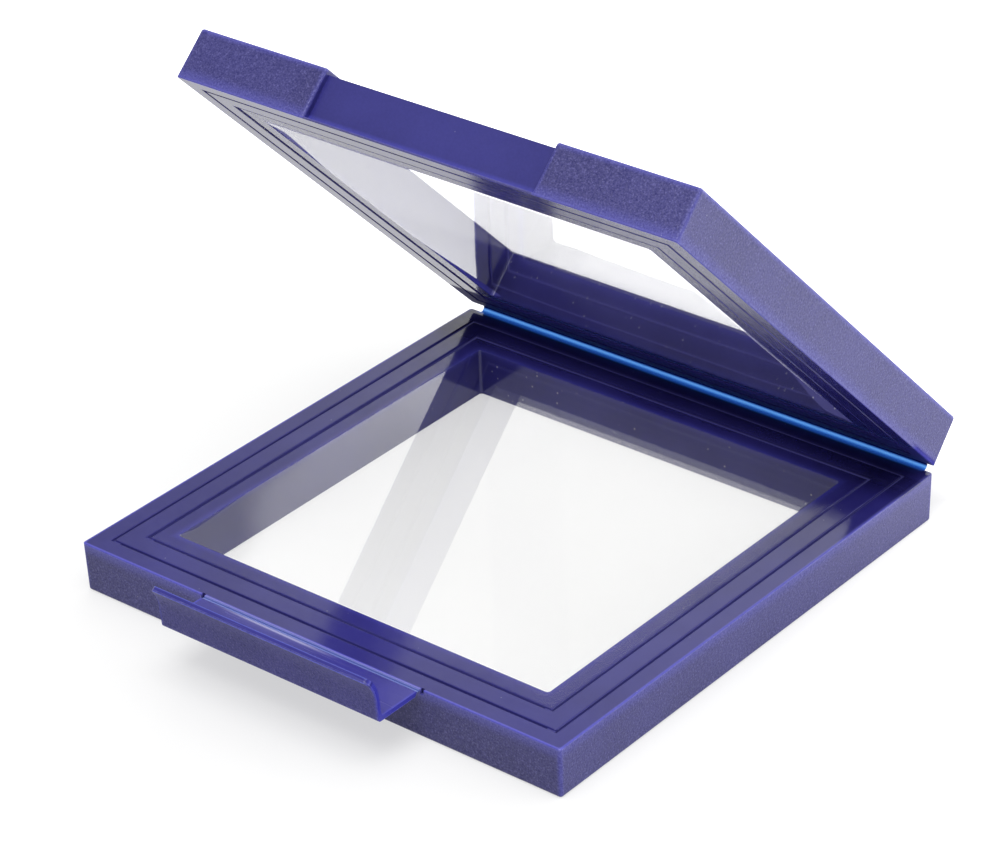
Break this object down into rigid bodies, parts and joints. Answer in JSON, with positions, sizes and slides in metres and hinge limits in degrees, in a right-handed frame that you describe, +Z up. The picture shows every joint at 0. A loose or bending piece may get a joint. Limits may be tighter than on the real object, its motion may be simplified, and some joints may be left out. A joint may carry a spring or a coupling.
{
  "type": "membrane display box",
  "caption": "Hinged square display box, standing open: two blue window frames with stretched clear film, a bending strip hinge and an L-shaped catch.",
  "frame": {"origin": "centre of the base's underside", "axes": "+X to the right along the front edge, +Y from the catch to the hinge, +Z up"},
  "size_m": [0.1102, 0.1305, 0.0963],
  "materials": {
    "frame_blue": "fine-grained outside, glossy on the mating face and window walls",
    "ring_blue": "glossy",
    "catch_blue": "fine-grained outside, glossy inside",
    "strip_blue": "thin and translucent",
    "film_clear": "clear stretched film"
  },
  "bodies": {
    "base": {"base_frame": "frame_blue", "base_clamp_ring": "ring_blue", "base_membrane": "film_clear", "hinge_web": "strip_blue", "latch_web": "strip_blue"},
    "lid": {"lid_frame": "frame_blue", "lid_clamp_ring": "ring_blue", "lid_membrane": "film_clear"},
    "catch": {"latch_flap": "catch_blue"}
  },
  "joints": [
    {"name": "lid_hinge", "type": "hinge", "parent": "base", "child": "lid", "pos_m": [0, 0.0566, 0.01005], "axis": [-1, 0, 0], "range_deg": [-45.46, 134.5], "deforming": ["hinge_web"]},
    {"name": "latch_hinge", "type": "hinge", "parent": "base", "child": "catch", "pos_m": [0, -0.05555, 0.0098], "axis": [-1, 0, 0], "range_deg": [-40, 94.5], "deforming": ["latch_web"]}
  ]
}
